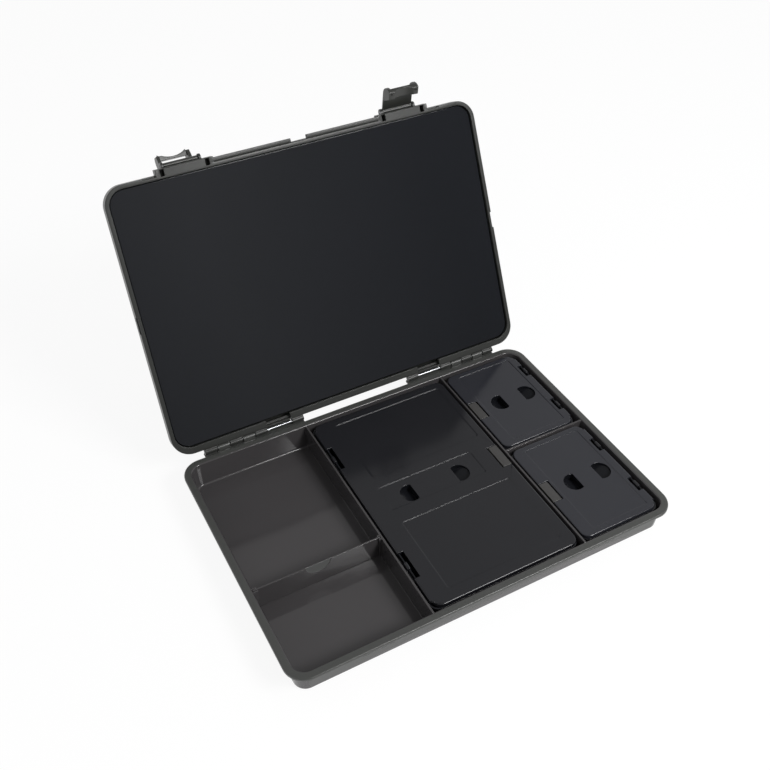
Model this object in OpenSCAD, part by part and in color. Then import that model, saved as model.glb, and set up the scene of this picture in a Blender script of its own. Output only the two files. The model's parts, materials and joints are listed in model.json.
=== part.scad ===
// A flat hinged tackle case, drawn open. The tray has fixed dividers, one loose cross divider
// and three lift-out boxes with their own lids. Two latches hang on the front of the main lid.
// X runs to the right, Y to the hinge at the back, Z up. The origin is under the middle of the tray.

/* [Case] */
// Width over the rim
case_w = 360; // [340:2:400]
// Depth over the rim, front to back
case_d = 245; // [235:1:270]
// Corner radius of the rim, seen from above
corner_r = 18; // [15:0.5:24]
// Gap between pieces that only rest on each other
seat_gap = 0.3; // [0.2:0.05:0.5]

/* [Tray] */
// Height from the table to the top of the rim
tray_h = 26; // [24:0.5:34]
// Thickness of the outer walls
tray_wall = 2; // [1.8:0.1:3]
// Thickness of the floor
tray_floor = 2; // [1.6:0.1:3]
// How far the rim flange stands out from the wall
flange_over = 4.8; // [4:0.2:6]
// Thickness of the rim flange
flange_t = 3; // [2.4:0.2:4]
// How far each outer wall leans in from the rim to the floor
wall_lean = 2.4; // [0:0.2:3]
// Radius of the bottom edge
foot_r = 2.5; // [1:0.5:4]
// Thickness of the fixed dividers
divider_t = 1.8; // [1.4:0.1:2.4]
// How far the dividers stay below the rim
divider_drop = 0.4; // [0:0.1:1.5]
// Middle of the divider beside the open compartments
left_divider_x = -57.7; // [-70:0.1:-50]
// Middle of the divider beside the two small boxes
right_divider_x = 88; // [80:0.1:96]
// Middle of the divider between the two small boxes
small_divider_y = 2.3; // [-6:0.1:10]

/* [Cross divider] */
// Place of the loose divider, front to back
sheet_y = -31; // [-70:1:40]
// Thickness of the loose divider
sheet_t = 1.5; // [1.2:0.1:2]
// Gap between the loose divider and its rails
sheet_gap = 0.35; // [0.3:0.05:0.6]
// Width of one rail
rail_w = 1.4; // [1:0.1:2]
// How far the rails stand out from the walls
rail_reach = 2.2; // [1.8:0.1:3]
// Radius of the thumb recess
thumb_r = 11.5; // [8:0.5:15]
// Depth of the thumb recess
thumb_deep = 0.5; // [0.3:0.1:0.6]

/* [Main lid] */
// Height of the lid, from its rim to its top
lid_h = 16.7; // [16:0.1:24]
// Wall thickness of the lid
lid_wall = 2; // [1.6:0.1:2.6]
// Radius of the edge round the top
lid_edge_r = 8; // [4:0.5:8]
// Angle that the lid is opened to
lid_open = 115.7; // [100:0.1:125]
// Width of the rim band at the front and sides
rim_band = 3.7; // [3.2:0.1:5]
// Width of the rim band at the hinge
hinge_band = 6.3; // [5:0.1:8]
// Depth of the pocket in that band, beside the bare length of the hinge pin
band_pocket = 5; // [3:0.5:6]
// Thickness of the wall outside that pocket
band_skin = 1.2; // [1:0.1:1.8]
// Thickness of the inner panel
panel_t = 1.6; // [1.2:0.1:2.4]
// How far the panel lies behind the rim
panel_drop = 2.5; // [1.5:0.1:3.5]
// Groove round the panel
panel_gap = 0.7; // [0.3:0.1:1.2]
// Width of the ledge that carries the panel
ledge_w = 3; // [2:0.5:5]
// Thickness of that ledge
ledge_t = 2; // [1.5:0.5:3]
// Diameter of the posts behind the panel
post_d = 7; // [6:0.5:10]
// Diameter of the pegs on the panel
peg_d = 3; // [2:0.5:4]
// Length of the pegs
peg_len = 5; // [3:0.5:6]
// Spacing of the posts across the lid
post_pitch_x = 120; // [90:5:140]
// Spacing of the posts front to back
post_pitch_y = 140; // [100:5:170]
// Length of the thumb notch in the front rim and of the notches in the side rims
notch_len = 15; // [10:1:24]
// Depth of those notches
notch_deep = 1.2; // [0.6:0.1:1.6]
// How far the front lip stands out between the latches
lip_out = 3.6; // [2:0.2:4.4]
// Thickness of that lip
lip_t = 2.4; // [1.6:0.2:3]

/* [Main hinge] */
// Distance of the axis behind the rim
hinge_back = 3; // [3:0.1:4]
// Height of the axis above the rim
hinge_up = 2.5; // [2.3:0.1:3]
// Radius of the knuckles
knuckle_r = 2.6; // [2.2:0.1:2.6]
// Length of one knuckle with its gap
knuckle_pitch = 12.3; // [10:0.1:13]
// Gap between knuckles
knuckle_gap = 0.6; // [0.4:0.1:1]
// Distance from the outer end of each hinge to the side of the case
hinge_margin = 25.8; // [20:0.1:40]
// Diameter of the hinge pins
pin_d = 2.4; // [1.8:0.1:2.8]
// Radial clearance of a pin that turns in its bore
turn_clear = 0.07; // [0.02:0.01:0.1]
// Radial clearance of a pin that sits tight in its bore
hold_clear = 0.03; // [0.01:0.01:0.06]
// How far the stop heels reach behind the axis
stop_reach = 6.5; // [5:0.5:7]

/* [Latches] */
// Distance from the middle of each latch to the side of the case
latch_margin = 74; // [65:0.5:90]
// Width of a latch
latch_w = 30.4; // [24:0.2:32]
// Thickness of a latch
latch_t = 2; // [1.6:0.1:2.4]
// Distance of the latch axis in front of the rim
latch_out = 5.8; // [5.6:0.1:7]
// Height of the latch axis above the rim
latch_up = 11.5; // [11:0.1:13]
// Length of the flat plate below the axis
latch_straight = 18; // [16:0.5:20]
// Outer radius of the corner of the two cheeks
latch_bend_r = 7.5; // [6:0.5:8]
// Thickness of the cheeks at both ends
cheek_t = 3; // [2:0.2:4]
// Thickness of the bar between the cheeks, without its tip
bar_t = 4.3; // [4:0.1:6]
// Height of that bar
bar_h = 6.5; // [5:0.5:8]
// Height of the hook tip
tip_t = 1.7; // [1.2:0.1:2.2]
// How far the hook goes into the slot in the tray
hook_bite = 0.7; // [0.4:0.1:0.9]
// Depth of that slot
slot_deep = 2; // [1:0.1:2.2]
// How far the middle of the hook is cut back
hook_bow = 4.2; // [0:0.2:4.6]
// Diameter of the latch pins
latch_pin_d = 2.2; // [1.6:0.1:2.4]
// Radius of the latch barrel
barrel_r = 2.2; // [2:0.1:2.4]
// Thickness of the ears that hold the pin
ear_t = 2.4; // [2:0.2:4]
// Radius of the ears
ear_r = 3.2; // [2.8:0.1:3.4]
// Gap between a latch and its ears
ear_gap = 0.4; // [0.3:0.1:0.8]
// Length of the block that carries a latch
block_w = 52; // [50:1:60]
// How far that block stands out from the rim
block_out = 4.7; // [4:0.1:4.8]
// Width of the pockets beside each latch
pocket = 3.6; // [3:0.2:4.4]
// How far those pockets reach into the rim band
pocket_in = 1.7; // [0:0.1:2]
// Angle of the left latch, away from its closed place
left_latch_open = 190; // [0:1:200]
// Angle of the right latch, away from its closed place
right_latch_open = 58; // [0:1:200]

/* [Boxes] */
// Gap between a box and the dividers beside it
box_gap = 1.6; // [0.8:0.1:2.4]
// Gap between a box and the foot of the outer walls
box_foot_gap = 0.6; // [0.4:0.1:1.5]
// Wall thickness of the boxes
box_wall = 1.6; // [1.2:0.1:2]
// Corner radius of the boxes
box_r = 8; // [5:0.5:12]
// Radius of the bottom edge of the boxes
box_foot_r = 2; // [1:0.5:3]
// How far the box lids lie below the rim
box_drop = 1; // [0.6:0.1:2]
// Thickness of the box lids
box_lid_t = 2; // [1.8:0.1:2.4]
// Radius of the bead along the hinge edge, half the height of a lid's edge
bead_r = 1.7; // [1.6:0.1:2]
// Diameter of the small hinge pins
box_pin_d = 1.6; // [1.2:0.1:1.8]
// Length of the notch for a hinge clip on the big lid
big_clip_len = 28; // [20:1:34]
// Length of the notch for a hinge clip on a small lid
small_clip_len = 16; // [14:1:20]
// Length of the clip itself
clip_lug = 7; // [5:0.5:9]
// Distance between the two clips of the big lid
big_clip_pitch = 133; // [100:1:160]
// Distance between the two clips of a small lid
small_clip_pitch = 54; // [46:1:60]
// Radius of the finger wells
well_r = 9.4; // [8:0.2:11]
// Width of a finger well, from its flat side to its curve
well_w = 13.6; // [11:0.2:16]
// Depth of a finger well at its flat side
well_deep = 8.5; // [6:0.5:11]
// Depth of a finger well at its curve
well_shallow = 2.6; // [2.4:0.1:4]
// Thickness of the wells' walls
well_wall = 1.3; // [1:0.1:1.8]
// Distance between the flat sides of the big lid's wells
big_grip = 41; // [30:1:50]
// Distance between the flat sides of a small lid's wells
small_grip = 20; // [14:1:24]
// Depth of the shallow panels on top of the lids
recess = 0.6; // [0.3:0.1:0.8]
// Width of a catch
catch_w = 8.6; // [7:0.2:10]
// Length of the big lid's catch
big_catch_len = 26; // [20:1:30]
// Length of a small lid's catch
small_catch_len = 22.5; // [18:0.5:26]
// Gap behind a catch, for its travel
catch_gap = 1.4; // [1.3:0.1:2]

/* [Hidden] */
$fn = 64;
over = 1;        // how far a cut runs past the face that it opens
root = 1;        // how far an added piece reaches into the wall that carries it

olive = [0.27, 0.28, 0.26];
olive_rim = [0.34, 0.35, 0.34];
gloss_black = [0.10, 0.11, 0.13];
charcoal = [0.22, 0.22, 0.24];
charcoal_lid = [0.30, 0.30, 0.33];
tab_grey = [0.52, 0.52, 0.50];
steel = [0.75, 0.76, 0.78];

// Tray
front_y = -case_d / 2;
back_y = case_d / 2;
inset = flange_over + tray_wall;
inside_w = case_w - 2 * inset;
inside_d = case_d - 2 * inset;
inside_r = corner_r - inset;
inside_h = tray_h - tray_floor;
lean_inside = wall_lean * inside_h / tray_h;
inner_foot_r = 2;
function lean_at(z) = wall_lean * (tray_h - z) / (tray_h - foot_r);

// Hinge: each half has eight places, counted from the middle of the case
hinge_y = back_y + hinge_back;
hinge_z = tray_h + hinge_up;
lid_places = [0, 3, 5, 7];
tray_places = [4, 6];
bare_places = [1, 2];
hinge_len = 8 * knuckle_pitch;
hinge_start = case_w / 2 - hinge_margin - hinge_len;
shelf_drop = knuckle_r - hinge_up + 0.8;
neck_clear = 0.4;
bore_end = 1.5;
function stop_z(y) = (hinge_back - seat_gap + y * cos(lid_open)) / sin(lid_open);

// Main lid, drawn closed and then turned about the hinge
lid_z = tray_h + seat_gap;
lid_inside_w = case_w - 2 * rim_band;
lid_inside_d = case_d - rim_band - hinge_band;
lid_inside_y = (rim_band - hinge_band) / 2;
lid_inside_r = corner_r - rim_band;
panel_back = panel_drop + panel_t;
peg_clear = 0.05;

// Latches
latch_x = case_w / 2 - latch_margin;
latch_y = front_y - latch_out;
latch_z = tray_h + latch_up;
plate_out = latch_t - 0.6;
bar_u = latch_straight + 0.5;
heel_u = bar_u + bar_h + 2.3;
tip_u = bar_u + bar_h - tip_t;
tip_z = latch_z - tip_u - tip_t / 2;
hook_reach = latch_out + flange_over + lean_at(tip_z) + hook_bite;
bar_face = latch_out + flange_over + lean_at(latch_z - bar_u) - 0.5;
hook_w = latch_w - 4.4;
slot_h = tip_t + 0.8;
slot_back = 1.2;
block_top = latch_up - barrel_r - 0.9;
pocket_skin = 1.2;
function pocket_x0(s) = latch_x + s * (latch_w / 2 + ear_gap + ear_t + 0.4 + pocket / 2) - pocket / 2;

// Boxes
bay_foot = inside_d / 2 - lean_inside;
big_left = left_divider_x + divider_t / 2 + box_gap;
big_right = right_divider_x - divider_t / 2 - box_gap;
big_w = big_right - big_left;
big_d = 2 * (bay_foot - box_foot_gap);
small_left = right_divider_x + divider_t / 2 + box_gap;
small_right = inside_w / 2 - lean_inside - box_foot_gap;
small_w = small_right - small_left;
rear_y0 = small_divider_y + divider_t / 2 + box_gap;
rear_y1 = big_d / 2;
front_y0 = -big_d / 2;
front_y1 = small_divider_y - divider_t / 2 - box_gap;
box_z = tray_floor + seat_gap;
box_top = tray_h - box_drop;
lid_edge_h = 2 * bead_r;
box_h = box_top - lid_edge_h - seat_gap - box_z;
axis_in = bead_r + 0.5;
axis_h = box_top - bead_r - box_z;
edge_in = 0.5;
edge_w = 3;
rib_t = 1.2;
rib_h = 2.2;
rib_gap = 0.4;
pin_hold = 2.5;
lid_top_h = box_top - box_z;

// ---- Shapes that repeat ----

// Rounded rectangle, centred
module plan(w, d, r) {
    square([w - 2 * r, d], center = true);
    square([w, d - 2 * r], center = true);
    for (sx = [-1, 1], sy = [-1, 1])
        translate([sx * (w / 2 - r), sy * (d / 2 - r)]) circle(r = r);
}

module plate(w, d, r, h) {
    linear_extrude(h) plan(w, d, r);
}

// Section of a wall that leans in to a rounded foot
module wall_section(r, h, lean, foot) {
    polygon([[0, 0], [r - lean - foot, 0], [r - lean - foot, foot],
             [r - lean, foot], [r, h], [0, h]]);
    translate([r - lean - foot, foot]) circle(r = foot);
}

// Solid with leaning walls and a rounded foot; w, d and r are its top
module basin(w, d, r, h, lean, foot) {
    for (a = [0 : 3]) {
        across = a % 2 == 0;
        half_x = across ? w / 2 : d / 2;
        half_y = across ? d / 2 : w / 2;
        rotate([0, 0, 90 * a]) {
            translate([half_x - r, half_y - r, 0])
                rotate_extrude(angle = 90) wall_section(r, h, lean, foot);
            translate([half_x - r, 0, 0]) rotate([90, 0, 0])
                linear_extrude(2 * (half_y - r), center = true) wall_section(r, h, lean, foot);
        }
    }
    lap = (r - lean - foot) / 2;
    translate([r - w / 2 - lap, r - d / 2, 0]) cube([w - 2 * r + 2 * lap, d - 2 * r, h]);
    translate([r - w / 2, r - d / 2 - lap, 0]) cube([w - 2 * r, d - 2 * r + 2 * lap, h]);
}

// Extrudes a (y, z) section along X, from x0 to x1
module along_x(x0, x1) {
    translate([x0, 0, 0]) rotate([90, 0, 90]) linear_extrude(x1 - x0) children();
}

module rod_x(x0, x1, d) {
    translate([x0, 0, 0]) rotate([0, 90, 0]) cylinder(h = x1 - x0, d = d);
}

module rod_y(y0, y1, d) {
    translate([0, y0, 0]) rotate([-90, 0, 0]) cylinder(h = y1 - y0, d = d);
}

module block(x0, x1, y0, y1, z0, z1) {
    translate([x0, y0, z0]) cube([x1 - x0, y1 - y0, z1 - z0]);
}

module both_sides() {
    children();
    mirror([1, 0, 0]) children();
}

// Start and end of a knuckle place on the right half
function place_x0(i) = hinge_start + i * knuckle_pitch + knuckle_gap / 2;
function place_x1(i) = hinge_start + (i + 1) * knuckle_pitch - knuckle_gap / 2;

// Closed lid to opened lid
module opened() {
    translate([0, hinge_y, hinge_z]) rotate([-lid_open, 0, 0])
        translate([0, -hinge_y, -hinge_z]) children();
}

// ---- Tray ----

module tray_inside(extra) {
    translate([0, 0, tray_floor])
        basin(inside_w + 2 * extra, inside_d + 2 * extra, inside_r + extra,
              inside_h, lean_inside, inner_foot_r);
}

module tray_dividers() {
    top = tray_h - divider_drop;
    half = divider_t / 2;
    intersection() {
        tray_inside(root);
        union() {
            block(left_divider_x - half, left_divider_x + half, front_y, back_y, tray_floor, top);
            block(right_divider_x - half, right_divider_x + half, front_y, back_y, tray_floor, top);
            block(right_divider_x, case_w / 2, small_divider_y - half, small_divider_y + half,
                  tray_floor, top);
            sheet_rails(top);
        }
    }
}

// Two pairs of rails that hold the loose divider
module sheet_rails(top) {
    slot = sheet_t / 2 + sheet_gap;
    wall_x = left_divider_x - divider_t / 2;
    for (s = [-1, 1]) {
        y0 = s > 0 ? sheet_y + slot : sheet_y - slot - rail_w;
        block(wall_x - rail_reach, wall_x + root / 2, y0, y0 + rail_w, tray_floor, top);
        block(-case_w / 2, -inside_w / 2 + lean_inside + rail_reach, y0, y0 + rail_w, tray_floor, top);
    }
}

module tray_hinge() {
    shelf_top = tray_h - shelf_drop;
    block(hinge_start, hinge_start + hinge_len, back_y - 2 * root, hinge_y + knuckle_r,
          tray_h - flange_t, shelf_top);
    for (i = tray_places)
        difference() {
            along_x(place_x0(i), place_x1(i)) {
                translate([hinge_y, hinge_z]) circle(r = knuckle_r);
                translate([back_y + neck_clear, shelf_top - root])
                    square([hinge_back - neck_clear + knuckle_r, hinge_up + shelf_drop + root]);
                stop_heel(0);
            }
            translate([0, hinge_y, hinge_z]) rod_x(place_x0(i) - over, place_x1(i) + over, pin_d + 2 * hold_clear);
        }
    // the heel runs on behind the bare length of the pin
    along_x(place_x0(bare_places[0]), place_x1(bare_places[1])) stop_heel(pin_d / 2 + 0.6);
}

// Section of the heel that the open lid rests against, from a distance behind the axis
module stop_heel(start) {
    foot = -hinge_up - flange_t;
    translate([hinge_y, hinge_z])
        polygon([[start, foot], [stop_reach, foot], [stop_reach, stop_z(stop_reach)],
                 [max(start, knuckle_r), stop_z(max(start, knuckle_r))], [start, stop_z(max(start, knuckle_r))]]);
}

// Slot in the front wall that a latch hooks into
module latch_slot() {
    wall_y = front_y + flange_over + lean_at(tip_z);
    block(latch_x - hook_w / 2 - 0.7, latch_x + hook_w / 2 + 0.7,
          wall_y - 2 * over, wall_y + slot_deep, tip_z - slot_h / 2 - 0.2, tip_z + slot_h / 2 - 0.2);
}

// Pad on the inside of the front wall, behind the slot; it stays clear of the box
module slot_pad() {
    wall_y = front_y + flange_over + lean_at(tip_z);
    intersection() {
        tray_inside(root);
        block(latch_x - hook_w / 2 - 2, latch_x + hook_w / 2 + 2, front_y,
              min(wall_y + slot_deep + slot_back, -big_d / 2 - seat_gap), tip_z - slot_h / 2 - 1.8, tip_z + slot_h / 2 + 1.4);
    }
}

module base_tray() {
    color(olive_rim) {
        difference() {
            union() {
                difference() {
                    union() {
                        basin(case_w - 2 * flange_over, case_d - 2 * flange_over, corner_r - flange_over,
                              tray_h, wall_lean, foot_r);
                        translate([0, 0, tray_h - flange_t]) plate(case_w, case_d, corner_r, flange_t);
                    }
                    tray_inside(0);
                    translate([0, 0, tray_h]) plate(inside_w, inside_d, inside_r, over);
                }
                both_sides() slot_pad();
            }
            both_sides() latch_slot();
        }
        tray_dividers();
        both_sides() tray_hinge();
    }
}

module cross_divider() {
    x1 = left_divider_x - divider_t / 2 - sheet_gap;
    top_x0 = -inside_w / 2 + sheet_gap;
    bottom_x0 = top_x0 + lean_inside;
    z0 = tray_floor + seat_gap;
    z1 = tray_h - divider_drop;
    mid_x = (top_x0 + x1) / 2;
    color(olive)
        difference() {
            translate([0, sheet_y + sheet_t / 2, 0]) rotate([90, 0, 0]) linear_extrude(sheet_t)
                polygon([[bottom_x0 + inner_foot_r, z0], [x1, z0], [x1, z1], [top_x0, z1],
                         [bottom_x0, z0 + 2 * inner_foot_r]]);
            translate([mid_x, sheet_y - sheet_t / 2 + thumb_deep, z1 + 1]) rotate([90, 0, 0])
                cylinder(h = thumb_deep + over, r = thumb_r);
        }
}

// ---- Main lid ----

module lid_hollow() {
    // behind the rim, down to the back of the panel
    translate([0, lid_inside_y, lid_z - over])
        plate(lid_inside_w, lid_inside_d, lid_inside_r, panel_back + over);
    // through the ledge
    translate([0, lid_inside_y, lid_z + panel_back - over])
        plate(lid_inside_w - 2 * ledge_w, lid_inside_d - 2 * ledge_w, lid_inside_r - ledge_w,
              ledge_t + 2 * over);
    // above the ledge
    translate([0, 0, lid_z + lid_h - lid_wall]) mirror([0, 0, 1])
        basin(case_w - 2 * lid_wall, case_d - 2 * lid_wall, corner_r - lid_wall,
              lid_h - lid_wall - panel_back - ledge_t, 0, lid_edge_r - lid_wall);
}

module post_places() {
    for (i = [-1 : 1], j = [-1, 1])
        translate([i * post_pitch_x, lid_inside_y + j * post_pitch_y / 2, 0]) children();
}

module lid_knuckles() {
    for (i = lid_places)
        along_x(place_x0(i), place_x1(i)) {
            translate([hinge_y, hinge_z]) circle(r = knuckle_r);
            translate([back_y - root, lid_z + 0.7])
                square([hinge_back + root, hinge_z + knuckle_r - lid_z - 0.7]);
        }
}

// One latch's block and ears, on the right half
module latch_mount() {
    half = block_w / 2;
    ear_x = latch_w / 2 + ear_gap;
    block(latch_x - half, latch_x + half, front_y - block_out, front_y + root, lid_z, tray_h + block_top);
    for (s = [-1, 1]) {
        // closes the pocket on the inside of the lid
        block(pocket_x0(s) - pocket_skin, pocket_x0(s) + pocket + pocket_skin, front_y, front_y + pocket_in + pocket_skin,
              lid_z, tray_h + block_top);
        x0 = s > 0 ? latch_x + ear_x : latch_x - ear_x - ear_t;
        along_x(x0, x0 + ear_t) {
            translate([latch_y, latch_z]) circle(r = ear_r);
            translate([latch_y, latch_z - ear_r]) square([latch_out + 3 * root, 2 * ear_r]);
            translate([front_y - block_out, tray_h + block_top - root]) square([block_out, latch_up - block_top]);
        }
    }
}

module latch_mount_cuts() {
    half = latch_w / 2 + ear_gap + ear_t;
    translate([0, latch_y, latch_z])
        rod_x(latch_x - half - over, latch_x + half + over, latch_pin_d + 2 * hold_clear);
    for (s = [-1, 1]) {
        x0 = pocket_x0(s);
        block(x0, x0 + pocket, front_y - block_out + 0.8, front_y + pocket_in,
              lid_z - over, tray_h + block_top - 1.2);
    }
}

// Lip along the front rim between the latch blocks, with the thumb notch in its middle
module front_lip() {
    end = latch_x - block_w / 2 + root / 2;
    for (s = [0, 1]) mirror([s, 0, 0])
        block(notch_len / 2, end, front_y - lip_out, front_y + root, lid_z, lid_z + lip_t);
}

module lid_notches() {
    z1 = lid_z + 3.5;
    // a groove between the lip and the rim face, and one notch past each latch block
    half_lip = latch_x - block_w / 2;
    block(-half_lip, half_lip, front_y - 0.5, front_y + 0.3, lid_z - over, lid_z + 0.6);
    end = latch_x + block_w / 2;
    both_sides() {
        block(end, end + notch_len - 3, front_y - over, front_y + notch_deep, lid_z - over, z1);
        block(case_w / 2 - notch_deep, case_w / 2 + over, -notch_len / 2 - 3, notch_len / 2 - 3,
              lid_z - over, z1);
        // in the rim band beside the bare length of the hinge pin, behind a thin wall
        block(place_x0(bare_places[0]), place_x1(bare_places[1]), back_y - hinge_band - over,
              back_y - band_skin, lid_z - over, lid_z + band_pocket);
    }
}

module lid_shell() {
    end_x = hinge_start + hinge_len - bore_end;
    color(olive) opened() difference() {
        union() {
            difference() {
                translate([0, 0, lid_z + lid_h]) mirror([0, 0, 1])
                    basin(case_w, case_d, corner_r, lid_h, 0, lid_edge_r);
                lid_hollow();
            }
            translate([0, 0, lid_z + panel_back]) post_places()
                cylinder(h = lid_h - panel_back - root, d = post_d);
            front_lip();
            both_sides() {
                lid_knuckles();
                latch_mount();
            }
        }
        translate([0, 0, lid_z + panel_back - over]) post_places()
            cylinder(h = peg_len + 0.5 + over, d = peg_d + 2 * peg_clear);
        both_sides() {
            translate([0, hinge_y, hinge_z])
                rod_x(hinge_start + bore_end, end_x, pin_d + 2 * turn_clear);
            latch_mount_cuts();
        }
        lid_notches();
    }
}

module lid_panel() {
    color(gloss_black) opened() {
        translate([0, lid_inside_y, lid_z + panel_drop])
            plate(lid_inside_w - 2 * panel_gap, lid_inside_d - 2 * panel_gap,
                  lid_inside_r - panel_gap, panel_t);
        translate([0, 0, lid_z + panel_back - 0.5]) post_places()
            cylinder(h = peg_len + 0.5, d = peg_d);
    }
}

module hinge_pin() {
    inset_end = bore_end + 0.3;
    color(steel) translate([0, hinge_y, hinge_z])
        rod_x(hinge_start + inset_end, hinge_start + hinge_len - inset_end, pin_d);
}

module hinge_pin_left() { mirror([1, 0, 0]) hinge_pin(); }
module hinge_pin_right() { hinge_pin(); }

// ---- Latches, drawn hanging closed about their own axis ----

// Sections in (y, z): the plate with its barrel, the cheeks round the corner, and the bar
module plate_section() {
    circle(r = barrel_r);
    translate([-plate_out, -latch_straight]) square([latch_t, latch_straight]);
}

module cheek_section() {
    intersection() {
        hull() {
            translate([latch_bend_r - plate_out, latch_bend_r - heel_u]) circle(r = latch_bend_r);
            translate([-plate_out, 5 - latch_straight]) square([latch_t, 1]);
            translate([bar_face - 1, -bar_u - bar_h]) square([1, bar_h]);
        }
        // open towards the rim flange
        polygon([[-plate_out - over, 6 - latch_straight], [0, 6 - latch_straight], [bar_face, -bar_u],
                 [bar_face, -heel_u - over], [-plate_out - over, -heel_u - over]]);
    }
}

module bar_section() {
    intersection() {
        cheek_section();
        translate([bar_face - bar_t, -heel_u]) square([bar_t, heel_u - bar_u]);
    }
    translate([bar_face - root, -tip_u - tip_t]) square([hook_reach - bar_face + root, tip_t]);
}

// The window between the plate and the bar stays open
module latch() {
    half = latch_w / 2;
    bow_r = (pow(hook_w / 2, 2) + pow(hook_bow, 2)) / (2 * max(hook_bow, 0.01));
    color(olive) difference() {
        union() {
            along_x(-half, half) plate_section();
            along_x(-half, half) bar_section();
            for (x0 = [-half, half - cheek_t]) along_x(x0, x0 + cheek_t) cheek_section();
        }
        rod_x(-half - over, half + over, latch_pin_d + 2 * turn_clear);
        // the tip narrows to the slot, and its edge is hollow between the two ends
        for (s = [-1, 1])
            translate([s * latch_w / 2, bar_face + over, -tip_u]) cube([latch_w - hook_w, 2 * over, 8], center = true);
        if (hook_bow > 0)
            translate([0, hook_reach - hook_bow + bow_r, -heel_u - over]) cylinder(h = heel_u - bar_u + 2 * over, r = bow_r, $fn = 128);
    }
}

module latch_at(side, angle) {
    opened() translate([side * latch_x, latch_y, latch_z]) rotate([-angle, 0, 0]) latch();
}

module latch_left() { latch_at(-1, left_latch_open); }
module latch_right() { latch_at(1, right_latch_open); }

module latch_pin(side) {
    half = latch_w / 2 + ear_gap + ear_t - 0.3;
    color(steel) opened() translate([side * latch_x, latch_y, latch_z]) rod_x(-half, half, latch_pin_d);
}

module latch_pin_left() { latch_pin(-1); }
module latch_pin_right() { latch_pin(1); }

// ---- Boxes: x runs from the hinge side, y from the middle, z from the bottom of the box ----

module box_tray(w, d, clip_pitch) {
    color(charcoal) {
        difference() {
            translate([w / 2, 0, 0]) basin(w, d, box_r, box_h, 0, box_foot_r);
            translate([w / 2, 0, box_wall])
                basin(w - 2 * box_wall, d - 2 * box_wall, box_r - box_wall, box_h - box_wall + over, 0, 1);
        }
        for (s = [-1, 1]) translate([0, s * clip_pitch / 2, 0]) difference() {
            union() {
                translate([axis_in, 0, axis_h]) rod_y(-clip_lug / 2, clip_lug / 2, 2 * bead_r);
                block(0.2, axis_in + bead_r, -clip_lug / 2, clip_lug / 2, box_h - 5, axis_h);
            }
            translate([axis_in, 0, axis_h])
                rod_y(-clip_lug / 2 - over, clip_lug / 2 + over, box_pin_d + 2 * turn_clear);
        }
    }
}

// Outline of a lid, from its hinge axis to its free edge, drawn in by an amount
module lid_plan(w, d, less) {
    lid_w = w - axis_in - edge_in;
    translate([axis_in + lid_w / 2, 0]) plan(lid_w - 2 * less, d - 2 * edge_in - 2 * less, box_r - less);
}

// A finger well's outline: a disc with its flat side at x = 0, curved towards -X
module well_plan(grow) {
    intersection() {
        translate([well_r - well_w, 0]) circle(r = well_r + grow);
        translate([-3 * well_r, -3 * well_r]) square([3 * well_r + grow, 6 * well_r]);
    }
}

// The well's space: deep at the flat side, rising to the curve
module well_space(grow) {
    slope = atan2(well_deep - well_shallow, well_w);
    intersection() {
        translate([0, 0, -well_deep - grow - over]) linear_extrude(well_deep + grow + 2 * over) well_plan(grow);
        translate([0, 0, -well_deep - grow]) rotate([0, slope, 0])
            block(-4 * well_r, 4 * well_r, -3 * well_r, 3 * well_r, 0, 4 * well_r);
    }
}

module wells(mid_x, grip) {
    translate([mid_x, 0, lid_top_h]) for (s = [0, 1]) mirror([s, 0, 0])
        translate([-grip / 2, 0, 0]) children();
}

module box_lid(w, d, clip_pitch, clip_len, well_x, grip, panels, catch_y, catch_len) {
    color(charcoal_lid) difference() {
        union() {
            translate([0, 0, lid_top_h - box_lid_t]) linear_extrude(box_lid_t) lid_plan(w, d, 0);
            translate([0, 0, lid_top_h - lid_edge_h]) linear_extrude(lid_edge_h) difference() {
                lid_plan(w, d, 0);
                lid_plan(w, d, edge_w);
            }
            translate([axis_in, 0, axis_h]) rod_y(box_r - d / 2, d / 2 - box_r, 2 * bead_r);
            lid_ribs(w, d);
            intersection() {
                wells(well_x, grip) well_space(well_wall);
                block(0, w, -d / 2, d / 2, 0, lid_top_h - box_lid_t / 2);
            }
        }
        wells(well_x, grip) well_space(0);
        for (p = panels) lid_recess(p);
        for (s = [-1, 1]) translate([0, s * clip_pitch / 2, 0]) {
            block(-over, axis_in + 4, -clip_len / 2, clip_len / 2, 0, lid_top_h + over);
            translate([axis_in, 0, axis_h])
                rod_y(-clip_len / 2 - pin_hold - 0.3, clip_len / 2 + pin_hold + 0.3, box_pin_d + 2 * hold_clear);
        }
        block(w - edge_in - catch_w - catch_gap, w + over,
              catch_y - catch_len / 2 - 0.35, catch_y + catch_len / 2 + 0.35, 0, lid_top_h + over);
    }
}

// A shallow panel, given as [x0, x1, y0, y1]
module lid_recess(p) {
    translate([(p[0] + p[1]) / 2, (p[2] + p[3]) / 2, lid_top_h - recess])
        plate(p[1] - p[0], p[3] - p[2], 2, recess + over);
}

// Ribs under the lid that centre it in the box
module lid_ribs(w, d) {
    near = box_wall + rib_gap;
    z0 = lid_top_h - lid_edge_h - rib_h;
    z1 = lid_top_h - box_lid_t / 2;
    block(w - near - rib_t, w - near, box_r - d / 2 + near, d / 2 - box_r - near, z0, z1);
    for (s = [-1, 1])
        block(box_r + near, w - box_r - near, s * (d / 2 - near) - (s > 0 ? rib_t : 0),
              s * (d / 2 - near) + (s > 0 ? 0 : rib_t), z0, z1);
}

module box_pins(clip_pitch, clip_len) {
    color(gloss_black) for (s = [-1, 1]) translate([axis_in, s * clip_pitch / 2, axis_h])
        rod_y(-clip_len / 2 - pin_hold, clip_len / 2 + pin_hold, box_pin_d);
}

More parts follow.
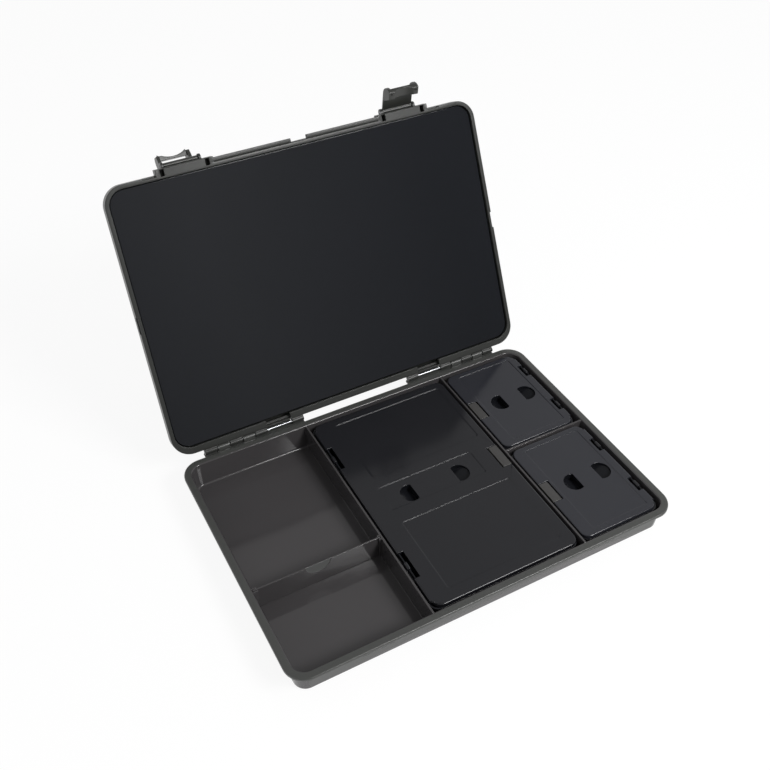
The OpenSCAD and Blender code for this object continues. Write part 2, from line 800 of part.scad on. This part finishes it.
// A catch slides in from the lid's free edge; its tongue lies under the lid
module box_catch(w, catch_y, catch_len) {
    x1 = w - edge_in;
    x0 = x1 - catch_w;
    leg_x1 = w - box_wall - rib_gap;
    tongue_top = lid_top_h - box_lid_t - seat_gap;
    color(tab_grey) translate([0, catch_y, 0]) {
        block(x0, x1, -catch_len / 2, catch_len / 2, lid_top_h - box_lid_t, lid_top_h);
        block(x0 - catch_gap - 2.6, leg_x1, 1 - catch_len / 2, catch_len / 2 - 1, tongue_top - 1.2, tongue_top);
        block(x0, leg_x1, 1 - catch_len / 2, catch_len / 2 - 1, tongue_top - 1.2, lid_top_h - 1);
        block(leg_x1 - 1.5, leg_x1, 1 - catch_len / 2, catch_len / 2 - 1, lid_top_h - 7, lid_top_h - 1);
    }
}

module at_big() { translate([big_left, 0, box_z]) children(); }
module at_rear() { translate([small_right, (rear_y0 + rear_y1) / 2, box_z]) mirror([1, 0, 0]) children(); }
module at_front() { translate([small_right, (front_y0 + front_y1) / 2, box_z]) mirror([1, 0, 0]) children(); }

// Places on the lids
big_well_x = (big_left < 0 ? 12.9 - big_left : 68);
big_far = big_w - 8;
big_panels = [[22, big_far, 31, big_d / 2 - 9], [20, big_w - 26, -10.5, 17], [20, big_w - 12, 12 - big_d / 2, -26]];
rear_d = rear_y1 - rear_y0;
front_d = front_y1 - front_y0;
small_well_x = small_w / 2 - 5;
rear_panels = [[9, small_w - 13, 7 - rear_d / 2, rear_d / 2 - 6]];
front_panels = [[9, small_w - 13, 7 - front_d / 2, front_d / 2 - 6]];

module big_box_tray() { at_big() box_tray(big_w, big_d, big_clip_pitch); }
module big_box_lid() {
    at_big() box_lid(big_w, big_d, big_clip_pitch, big_clip_len, big_well_x, big_grip, big_panels, 0, big_catch_len);
}
module big_box_pins() { at_big() box_pins(big_clip_pitch, big_clip_len); }
module big_box_catch() { at_big() box_catch(big_w, 0, big_catch_len); }

module rear_box_tray() { at_rear() box_tray(small_w, rear_d, small_clip_pitch); }
module rear_box_lid() {
    at_rear() box_lid(small_w, rear_d, small_clip_pitch, small_clip_len, small_well_x, small_grip,
                      rear_panels, 0, small_catch_len);
}
module rear_box_pins() { at_rear() box_pins(small_clip_pitch, small_clip_len); }
module rear_box_catch() { at_rear() box_catch(small_w, 0, small_catch_len); }

module front_box_tray() { at_front() box_tray(small_w, front_d, small_clip_pitch); }
module front_box_lid() {
    at_front() box_lid(small_w, front_d, small_clip_pitch, small_clip_len, small_well_x, small_grip,
                       front_panels, 0, small_catch_len);
}
module front_box_pins() { at_front() box_pins(small_clip_pitch, small_clip_len); }
module front_box_catch() { at_front() box_catch(small_w, 0, small_catch_len); }

base_tray();
cross_divider();
lid_shell();
lid_panel();
hinge_pin_left();
hinge_pin_right();
latch_left();
latch_right();
latch_pin_left();
latch_pin_right();
big_box_tray();
big_box_lid();
big_box_pins();
big_box_catch();
rear_box_tray();
rear_box_lid();
rear_box_pins();
rear_box_catch();
front_box_tray();
front_box_lid();
front_box_pins();
front_box_catch();
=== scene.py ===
import json
import math

import bmesh
import bpy
from mathutils import Matrix, Vector
from mathutils.bvhtree import BVHTree

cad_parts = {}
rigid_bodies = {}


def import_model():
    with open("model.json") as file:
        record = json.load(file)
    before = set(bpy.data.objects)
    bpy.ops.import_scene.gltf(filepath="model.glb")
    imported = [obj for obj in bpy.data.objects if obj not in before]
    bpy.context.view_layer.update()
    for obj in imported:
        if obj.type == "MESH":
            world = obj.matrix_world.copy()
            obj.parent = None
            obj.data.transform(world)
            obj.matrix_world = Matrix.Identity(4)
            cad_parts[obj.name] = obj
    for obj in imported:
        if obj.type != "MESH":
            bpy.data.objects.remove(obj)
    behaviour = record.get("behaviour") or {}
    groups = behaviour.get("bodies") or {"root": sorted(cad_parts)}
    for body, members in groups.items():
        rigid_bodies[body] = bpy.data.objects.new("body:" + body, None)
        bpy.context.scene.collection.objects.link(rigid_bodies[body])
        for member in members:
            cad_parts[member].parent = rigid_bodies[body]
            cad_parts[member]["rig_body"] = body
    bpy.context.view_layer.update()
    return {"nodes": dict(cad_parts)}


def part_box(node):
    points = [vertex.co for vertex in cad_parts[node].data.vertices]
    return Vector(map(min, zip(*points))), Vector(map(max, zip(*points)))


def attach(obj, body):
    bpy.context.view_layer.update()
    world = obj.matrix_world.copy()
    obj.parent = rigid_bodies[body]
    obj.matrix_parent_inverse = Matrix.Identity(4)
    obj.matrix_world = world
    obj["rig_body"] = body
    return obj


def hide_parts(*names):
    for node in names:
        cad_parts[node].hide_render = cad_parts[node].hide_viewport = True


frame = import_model()
nodes = frame["nodes"]
mm = 0.001
print("frame loaded:", len(nodes), "nodes")


def hexColor(code):
    # sRGB hex to the linear colour that a socket wants
    parts = [int(code[i:i + 2], 16) / 255 for i in (0, 2, 4)]
    return [c / 12.92 if c <= 0.04045 else ((c + 0.055) / 1.055) ** 2.4 for c in parts] + [1.0]


def addNode(tree, kind, values=None, links=None, **settings):
    node = tree.nodes.new(kind)
    for name, value in settings.items():
        setattr(node, name, value)
    for socket, value in (values or {}).items():
        node.inputs[socket].default_value = value
    for socket, source in (links or {}).items():
        tree.links.new(source, node.inputs[socket])
    return node


def emptyMaterial(name):
    material = bpy.data.materials.new(name)
    material.use_nodes = True
    material.node_tree.nodes.clear()
    return material


def mouldedPlastic(name, look):
    # one recipe for every moulded plastic here: tool grain, flow mottle, slow sink warp
    material = emptyMaterial(name)
    tree = material.node_tree
    coords = addNode(tree, "ShaderNodeTexCoord").outputs["Object"]
    mottle = addNode(tree, "ShaderNodeTexNoise", {"Scale": 1 / (look["mottleSize"] * mm), "Detail": 3.0},
                     {"Vector": coords})
    color = addNode(tree, "ShaderNodeMix", {6: hexColor(look["color"]), 7: hexColor(look["colorTwo"])},
                    {0: mottle.outputs["Fac"]}, data_type="RGBA")
    # grain of the spark-eroded tool
    grain = addNode(tree, "ShaderNodeTexNoise", {"Scale": 1 / (look["grainSize"] * mm), "Detail": 2.0},
                    {"Vector": coords})
    rough = addNode(tree, "ShaderNodeMapRange", {"To Min": look["roughness"] - look["roughSpread"],
                                                 "To Max": look["roughness"] + look["roughSpread"]},
                    {"Value": mottle.outputs["Fac"]})
    warp = addNode(tree, "ShaderNodeTexNoise", {"Scale": 1 / (look["warpSize"] * mm), "Detail": 1.0},
                   {"Vector": coords})
    warpBump = addNode(tree, "ShaderNodeBump", {"Strength": 1.0, "Distance": look["warpDepth"] * mm},
                       {"Height": warp.outputs["Fac"]})
    grainBump = addNode(tree, "ShaderNodeBump", {"Strength": 1.0, "Distance": look["grainDepth"] * mm},
                        {"Height": grain.outputs["Fac"], "Normal": warpBump.outputs["Normal"]})
    shader = addNode(tree, "ShaderNodeBsdfPrincipled", {"IOR": look["ior"]},
                     {"Base Color": color.outputs[2], "Roughness": rough.outputs["Result"],
                      "Normal": grainBump.outputs["Normal"]})
    addNode(tree, "ShaderNodeOutputMaterial", links={"Surface": shader.outputs["BSDF"]})
    return material


# sizes and depths of the patterns are in millimetres
# ABS, moulded in a spark-eroded tool: matte olive grey, a fine even grain
shellLook = {"color": "3F403E", "colorTwo": "444543", "roughness": 0.34, "roughSpread": 0.04, "ior": 1.52,
             "mottleSize": 35, "grainSize": 0.55, "grainDepth": 0.016, "warpSize": 70, "warpDepth": 0.05}
# the same ABS from the polished core side: the compartments shine and mirror their walls
insideLook = {"color": "403E3F", "colorTwo": "444243", "roughness": 0.08, "roughSpread": 0.02, "ior": 1.5,
              "mottleSize": 60, "grainSize": 1.2, "grainDepth": 0.0015, "warpSize": 55, "warpDepth": 0.12}
# thermoformed polystyrene sheet: near black, wet gloss, slightly wavy
panelLook = {"color": "15171B", "colorTwo": "17191E", "roughness": 0.06, "roughSpread": 0.02, "ior": 1.55,
             "mottleSize": 90, "grainSize": 2.0, "grainDepth": 0.001, "warpSize": 80, "warpDepth": 0.16}
# polypropylene box lids: black charcoal, satin gloss
boxLidLook = {"color": "17181C", "colorTwo": "1B1B1F", "roughness": 0.13, "roughSpread": 0.03, "ior": 1.49,
              "mottleSize": 45, "grainSize": 0.9, "grainDepth": 0.003, "warpSize": 60, "warpDepth": 0.12}
# the two small lids: a greyer copy of the same resin, painted lighter for the extra light they get away from the
# lid's shadow (painted light)
smallLidLitLook = dict(boxLidLook, color="292A30", colorTwo="2D2E33")
# the boxes under them, the same resin, less glossy
boxLook = dict(boxLidLook, roughness=0.30, warpDepth=0.05)
# the finger wells: painted shade, a darker copy of the lid's resin whose low IOR cuts its reflections, standing in
# for the shade deep inside the wells
wellShadeLook = dict(boxLidLook, color="141518", colorTwo="18191D", roughness=0.25, warpDepth=0.03, ior=1.3)
# the lid: a darker copy of the shell's ABS, with a lower IOR
lidLook = dict(shellLook, color="2C2D2B", colorTwo="313230", ior=1.44)
# latches: dark ABS like the lid's, smoother from handling
latchLook = dict(shellLook, color="2C2D2A", colorTwo="30312E", grainDepth=0.009)
# the thumb recess: matte, and painted lighter; the lighter colour is a painted sheen for the light the recess
# catches
thumbSheenLook = dict(shellLook, color="5B5C5B", colorTwo="616261", roughness=0.5)
# black acetal rod, as cut: dull, with a fine grain
rodLook = dict(wellShadeLook, roughness=0.45, grainSize=0.3)
# catches: natural grey acetal, satin
catchLook = {"color": "3C3B3A", "colorTwo": "424140", "roughness": 0.36, "roughSpread": 0.04, "ior": 1.48,
             "mottleSize": 15, "grainSize": 0.6, "grainDepth": 0.006, "warpSize": 30, "warpDepth": 0.03}

shellAbs = mouldedPlastic("mattOliveAbs", shellLook)
lidAbs = mouldedPlastic("mattDarkOliveAbs", lidLook)
insideAbs = mouldedPlastic("polishedOliveAbs", insideLook)
panelSheet = mouldedPlastic("glossBlackStyrene", panelLook)
boxLidPp = mouldedPlastic("satinCharcoalPolypropylene", boxLidLook)
boxPp = mouldedPlastic("charcoalPolypropylene", boxLook)
latchAbs = mouldedPlastic("darkOliveAbs", latchLook)
catchAcetal = mouldedPlastic("greyAcetal", catchLook)
smallLidLitPp = mouldedPlastic("paintedLightCharcoalPolypropylene", smallLidLitLook)
wellShadePp = mouldedPlastic("wellPaintedShadePolypropylene", wellShadeLook)
thumbSheenAbs = mouldedPlastic("thumbPaintedSheenAbs", thumbSheenLook)
rodAcetal = mouldedPlastic("blackAcetalRod", rodLook)

# stainless wire, drawn along X: bright, with fine lines along the pin
wireLook = {"color": "A9ABAE", "roughness": 0.28, "roughSpread": 0.06, "lineSize": 0.12, "lineDepth": 0.004,
            "stretch": (0.02, 1.0, 1.0)}


def drawnSteel(name, look):
    material = emptyMaterial(name)
    tree = material.node_tree
    coords = addNode(tree, "ShaderNodeTexCoord").outputs["Object"]
    lines = addNode(tree, "ShaderNodeMapping", {"Scale": look["stretch"]}, {"Vector": coords})
    noise = addNode(tree, "ShaderNodeTexNoise", {"Scale": 1 / (look["lineSize"] * mm), "Detail": 1.0},
                    {"Vector": lines.outputs["Vector"]})
    rough = addNode(tree, "ShaderNodeMapRange", {"To Min": look["roughness"] - look["roughSpread"],
                                                 "To Max": look["roughness"] + look["roughSpread"]},
                    {"Value": noise.outputs["Fac"]})
    bump = addNode(tree, "ShaderNodeBump", {"Strength": 1.0, "Distance": look["lineDepth"] * mm},
                   {"Height": noise.outputs["Fac"]})
    shader = addNode(tree, "ShaderNodeBsdfPrincipled", {"Base Color": hexColor(look["color"]), "Metallic": 1.0},
                     {"Roughness": rough.outputs["Result"], "Normal": bump.outputs["Normal"]})
    addNode(tree, "ShaderNodeOutputMaterial", links={"Surface": shader.outputs["BSDF"]})
    return material


wireAcross = drawnSteel("drawnSteelAcross", wireLook)
print("materials ready")

# how the copies of the solids are made: lengths in millimetres, angles in degrees
copySpec = {"merge": 0.003, "flat": 0.4, "sharp": 32, "smooth": 40, "stray": 0.6}


def splitLong(bm):
    # a face of many corners may fold over when its edges are eased
    bmesh.ops.triangulate(bm, faces=[f for f in bm.faces if len(f.verts) > 4])


def easedCopy(node, name, material, passes):
    source = nodes[node]
    bm = bmesh.new()
    bm.from_mesh(source.data)
    bmesh.ops.remove_doubles(bm, verts=bm.verts, dist=copySpec["merge"] * mm)
    bmesh.ops.dissolve_limit(bm, angle_limit=math.radians(copySpec["flat"]), verts=bm.verts, edges=bm.edges)
    splitLong(bm)
    surface = BVHTree.FromBMesh(bm)
    for ease in passes:
        least = math.radians(ease.get("angle", copySpec["sharp"]))
        where = ease.get("where", lambda p: True)
        chosen = [e for e in bm.edges if e.is_manifold and e.calc_face_angle(0) > least
                  and where((e.verts[0].co + e.verts[1].co) / 2 / mm)]
        bmesh.ops.bevel(bm, geom=chosen, offset=ease["width"] * mm, segments=ease.get("segments", 2), profile=0.5,
                        affect="EDGES", clamp_overlap=False, material=-1)
    # where a bevel runs past a very short edge, its corners go back to the surface
    reach = copySpec["stray"] * max(ease["width"] for ease in passes) * mm
    for vert in bm.verts:
        spot, _, _, gap = surface.find_nearest(vert.co)
        if gap > reach:
            vert.co = spot
    splitLong(bm)
    mesh = bpy.data.meshes.new(name)
    bm.to_mesh(mesh)
    bm.free()
    piece = bpy.data.objects.new(name, mesh)
    bpy.context.scene.collection.objects.link(piece)
    mesh.materials.append(material)
    mesh.shade_smooth()
    mesh.set_sharp_from_angle(angle=math.radians(copySpec["smooth"]))
    # large flats keep their own direction, and only the eased edges turn
    weighted = piece.modifiers.new("flatFaces", "WEIGHTED_NORMAL")
    weighted.keep_sharp = True
    weighted.weight = 100
    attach(piece, source["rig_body"])
    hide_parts(node)
    print(name, len(mesh.polygons), "faces")
    return piece


# where the edges of each piece lie, in millimetres of the part frame
traySpec = {"rimTop": 26.0, "rimDepth": 1.0, "outsideX": 180.5, "outsideY": 123.0, "insideX": 173.4,
            "insideY": 115.9, "floor": 1.9, "edge": 0.35, "rimEdge": 1.1}


def atRim(p):
    return p.z > traySpec["rimTop"] - 0.1 and abs(p.x) < traySpec["outsideX"] and abs(p.y) < traySpec["outsideY"]


trayShell = easedCopy("base_tray", "trayShell", shellAbs,
                      [{"width": traySpec["rimEdge"], "where": atRim, "segments": 3},
                       {"width": traySpec["edge"]}])
trayShell.data.materials.append(insideAbs)
for face in trayShell.data.polygons:
    # the polished side ends at the top of the rounded inner edge of the rim
    center = face.center / mm
    reach = traySpec["rimEdge"] if center.z > traySpec["rimTop"] - traySpec["rimDepth"] else 0
    if (abs(center.x) < traySpec["insideX"] + reach and abs(center.y) < traySpec["insideY"] + reach
            and traySpec["floor"] < center.z < traySpec["rimTop"] - 0.02):
        face.material_index = 1

dividerSpec = {"edge": 0.3, "thumbFace": -31.25, "thumbSpread": 0.15, "thumbX": -116.0, "thumbHalf": 11.5,
               "thumbLow": 13.0}
crossDivider = easedCopy("cross_divider", "crossDivider", insideAbs, [{"width": dividerSpec["edge"]}])
# the thumb recess faces take the painted-sheen material
crossDivider.data.materials.append(thumbSheenAbs)
for face in crossDivider.data.polygons:
    center = face.center / mm
    if (abs(center.y - dividerSpec["thumbFace"]) < dividerSpec["thumbSpread"]
            and abs(center.x - dividerSpec["thumbX"]) < dividerSpec["thumbHalf"]
            and center.z > dividerSpec["thumbLow"]):
        face.material_index = 1

lidSpec = {"edge": 0.4, "panelEdge": 0.5, "latchEdge": 0.35}
easedCopy("lid_shell", "lidShell", lidAbs, [{"width": lidSpec["edge"]}])
easedCopy("lid_panel", "lidPanel", panelSheet, [{"width": lidSpec["panelEdge"], "segments": 3}])
for side in ("left", "right"):
    easedCopy("latch_" + side, "hookLatch_" + side, latchAbs, [{"width": lidSpec["latchEdge"]}])

boxSpec = {"lidTop": 25.0, "topEdge": 1.1, "topBand": 3.0, "step": 0.3, "trayEdge": 0.3, "catchEdge": 0.45}
# each lid's finger wells: the x between them, and how far each middle lies from it; then how far they reach
wellSpec = {"big": (12.9, 27.3), "rear": (135.4, 16.8), "front": (135.4, 16.8),
            "below": 0.95, "halfWidth": 7.2, "halfLength": 9.5}
for box in ("big", "rear", "front"):
    low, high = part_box(box + "_box_lid")

    def outerTop(p, low=low / mm, high=high / mm):
        # the long outer edges round the top, and none inside the wells or panels
        edge = min(p.x - low.x, high.x - p.x, p.y - low.y, high.y - p.y)
        return p.z > boxSpec["lidTop"] - 0.005 and edge < boxSpec["topBand"]

    boxLid = easedCopy(box + "_box_lid", box + "BoxLid", boxLidPp if box == "big" else smallLidLitPp,
                       [{"width": boxSpec["topEdge"], "where": outerTop, "segments": 4, "angle": 60},
                        {"width": boxSpec["step"]}])
    # the faces inside the wells take the painted-shade copy of the resin
    boxLid.data.materials.append(wellShadePp)
    lidY = (low.y + high.y) / 2 / mm
    middle, apart = wellSpec[box]
    for face in boxLid.data.polygons:
        # inside the wells: below the shallow panel, and within a fingertip of their middles
        center = face.center / mm
        across = abs(abs(center.x - middle) - apart)
        if (center.z < boxSpec["lidTop"] - wellSpec["below"] and across < wellSpec["halfWidth"]
                and abs(center.y - lidY) < wellSpec["halfLength"] and face.normal.z > -0.2):
            face.material_index = 1
    easedCopy(box + "_box_tray", box + "BoxTray", boxPp, [{"width": boxSpec["trayEdge"]}])
    easedCopy(box + "_box_catch", box + "BoxCatch", catchAcetal, [{"width": boxSpec["catchEdge"]}])
    nodes[box + "_box_pins"].data.materials.clear()
    nodes[box + "_box_pins"].data.materials.append(rodAcetal)
for pin in ("hinge_pin_left", "hinge_pin_right", "latch_pin_left", "latch_pin_right"):
    nodes[pin].data.materials.clear()
    nodes[pin].data.materials.append(wireAcross)
print("pieces ready")


def shownRays(tree):
    # 1 for the rays that show the studio itself, 0 for those that light the object
    path = addNode(tree, "ShaderNodeLightPath")
    total = path.outputs["Is Camera Ray"]
    for ray in ("Is Glossy Ray", "Is Transmission Ray"):
        both = addNode(tree, "ShaderNodeMath", links={0: total, 1: path.outputs[ray]}, operation="MAXIMUM")
        total = both.outputs[0]
    return total


worldLight = {"ambient": 0.5, "tint": "FBFCFF"}
world = bpy.data.worlds.new("studio")
bpy.context.scene.world = world
world.use_nodes = True
tree = world.node_tree
tree.nodes.clear()
shown = shownRays(tree)
lit = addNode(tree, "ShaderNodeBackground", {"Color": hexColor(worldLight["tint"]),
                                             "Strength": worldLight["ambient"]})
white = addNode(tree, "ShaderNodeBackground", {"Color": hexColor("FFFFFF"), "Strength": 1.0})
mix = addNode(tree, "ShaderNodeMixShader", links={0: shown, 1: lit.outputs[0], 2: white.outputs[0]})
addNode(tree, "ShaderNodeOutputWorld", links={"Surface": mix.outputs[0]})

# white paper sweep: matt, and nearly all glow where it shows itself, so that it stays white
floorSpec = {"size": 6.0, "below": 0.4, "color": "F2F2F2", "share": 0.88, "glow": 1.03}
floorMesh = bpy.data.meshes.new("studioFloor")
bm = bmesh.new()
bmesh.ops.create_grid(bm, x_segments=1, y_segments=1, size=floorSpec["size"] / 2)
bmesh.ops.translate(bm, verts=bm.verts, vec=(0, 0, -floorSpec["below"] * mm))
bm.to_mesh(floorMesh)
bm.free()
floor = bpy.data.objects.new("studioFloor", floorMesh)
bpy.context.scene.collection.objects.link(floor)
paper = emptyMaterial("whitePaperSweep")
tree = paper.node_tree
matt = addNode(tree, "ShaderNodeBsdfDiffuse", {"Color": hexColor(floorSpec["color"])})
glow = addNode(tree, "ShaderNodeEmission", {"Color": hexColor("FFFFFF"), "Strength": floorSpec["glow"]})
share = addNode(tree, "ShaderNodeMath", {1: floorSpec["share"]}, {0: shownRays(tree)}, operation="MULTIPLY")
mix = addNode(tree, "ShaderNodeMixShader", links={0: share.outputs[0], 1: matt.outputs[0], 2: glow.outputs[0]})
addNode(tree, "ShaderNodeOutputMaterial", links={"Surface": mix.outputs[0]})
floorMesh.materials.append(paper)


def softbox(name, place, aim, size, power):
    light = bpy.data.lights.new(name, "AREA")
    light.shape = "RECTANGLE"
    light.size, light.size_y = size
    light.energy = power
    lamp = bpy.data.objects.new(name, light)
    bpy.context.scene.collection.objects.link(lamp)
    toward = Vector(aim) - Vector(place)
    lamp.matrix_world = Matrix.Translation(place) @ toward.to_track_quat("-Z", "Y").to_matrix().to_4x4()
    lamp.visible_camera = False


# a card's glow falls off towards the floor, below this height in metres
fadeHeight = 1.2


def studioCard(name, size, place, turn, glowAt, fadeDown=1.0):
    # a large card of the studio that the gloss mirrors; glowAt holds places across it and the glow at each,
    # and fadeDown is the share of the glow that is left at the floor
    mesh = bpy.data.meshes.new(name)
    bm = bmesh.new()
    bmesh.ops.create_grid(bm, x_segments=1, y_segments=1, size=0.5)
    bmesh.ops.scale(bm, verts=bm.verts, vec=(size[0], size[1], 1))
    bmesh.ops.rotate(bm, verts=bm.verts, cent=(0, 0, 0), matrix=Matrix.Rotation(math.radians(turn), 3, "X"))
    bmesh.ops.translate(bm, verts=bm.verts, vec=place)
    bm.to_mesh(mesh)
    bm.free()
    card = bpy.data.objects.new(name, mesh)
    bpy.context.scene.collection.objects.link(card)
    material = emptyMaterial(name + "Cloth")
    tree = material.node_tree
    coords = addNode(tree, "ShaderNodeTexCoord").outputs["Object"]
    spot = addNode(tree, "ShaderNodeSeparateXYZ", links={0: coords})
    across = addNode(tree, "ShaderNodeMapRange", {"From Min": -size[0] / 2, "From Max": size[0] / 2},
                     {"Value": spot.outputs["X"]})
    level = addNode(tree, "ShaderNodeFloatCurve", links={"Value": across.outputs["Result"]})
    curve = level.mapping.curves[0]
    for index, (x, strength) in enumerate(glowAt):
        # a new curve has two points already
        if index < 2:
            curve.points[index].location = (x / size[0] + 0.5, strength)
        else:
            curve.points.new(x / size[0] + 0.5, strength)
    for point in curve.points:
        point.handle_type = "VECTOR"
    level.mapping.update()
    fade = addNode(tree, "ShaderNodeMapRange", {"From Min": 0.0, "From Max": fadeHeight, "To Min": fadeDown,
                                                "To Max": 1.0}, {"Value": spot.outputs["Z"]})
    strength = addNode(tree, "ShaderNodeMath", links={0: level.outputs["Value"], 1: fade.outputs["Result"]},
                       operation="MULTIPLY")
    glow = addNode(tree, "ShaderNodeEmission", links={"Strength": strength.outputs[0]})
    addNode(tree, "ShaderNodeOutputMaterial", links={"Surface": glow.outputs["Emission"]})
    mesh.materials.append(material)
    card.visible_camera = False


# the gloss mirrors a grey ceiling and a dim room behind the camera, and white paper all round below them
studioCard("greyCeiling", (5.0, 4.6), (0, 0.3, 2.0), 0, ((-2.5, 0.38), (2.5, 0.54)))
studioCard("dimRoom", (5.0, 2.0), (0, -2.0, 1.0), 90,
           ((-2.5, 0.16), (2.5, 0.14), (-0.2, 0.26), (0.45, 0.42), (1.3, 0.20)), 0.65)
# the key light stands to the right of the camera, and puts the bright lines on every edge that faces it
softbox("keySoftbox", (0.62, -1.08, 1.22), (0, 0, 0.03), (0.7, 0.5), 22)
print("studio ready")

# camera worked out from the straight edges in the photograph
view = {"place": (-0.3123, -0.4946, 0.6736), "turn": -27.924, "down": 39.140, "roll": -0.094,
        "lens": 46.186, "sensor": 36, "near": 0.01, "shift": (0.01766, -0.06794)}
cameraData = bpy.data.cameras.new("photoCamera")
cameraData.lens = view["lens"]
cameraData.sensor_width = view["sensor"]
cameraData.shift_x, cameraData.shift_y = view["shift"]
cameraData.clip_start = view["near"]
camera = bpy.data.objects.new("photoCamera", cameraData)
bpy.context.scene.collection.objects.link(camera)
camera.matrix_world = (Matrix.Translation(view["place"]) @ Matrix.Rotation(math.radians(view["turn"]), 4, "Z")
                       @ Matrix.Rotation(math.radians(90 - view["down"]), 4, "X")
                       @ Matrix.Rotation(math.radians(view["roll"]), 4, "Z"))
bpy.context.scene.camera = camera
bpy.context.scene.view_settings.view_transform = "Standard"

bpy.context.view_layer.update()
print("scene ready")
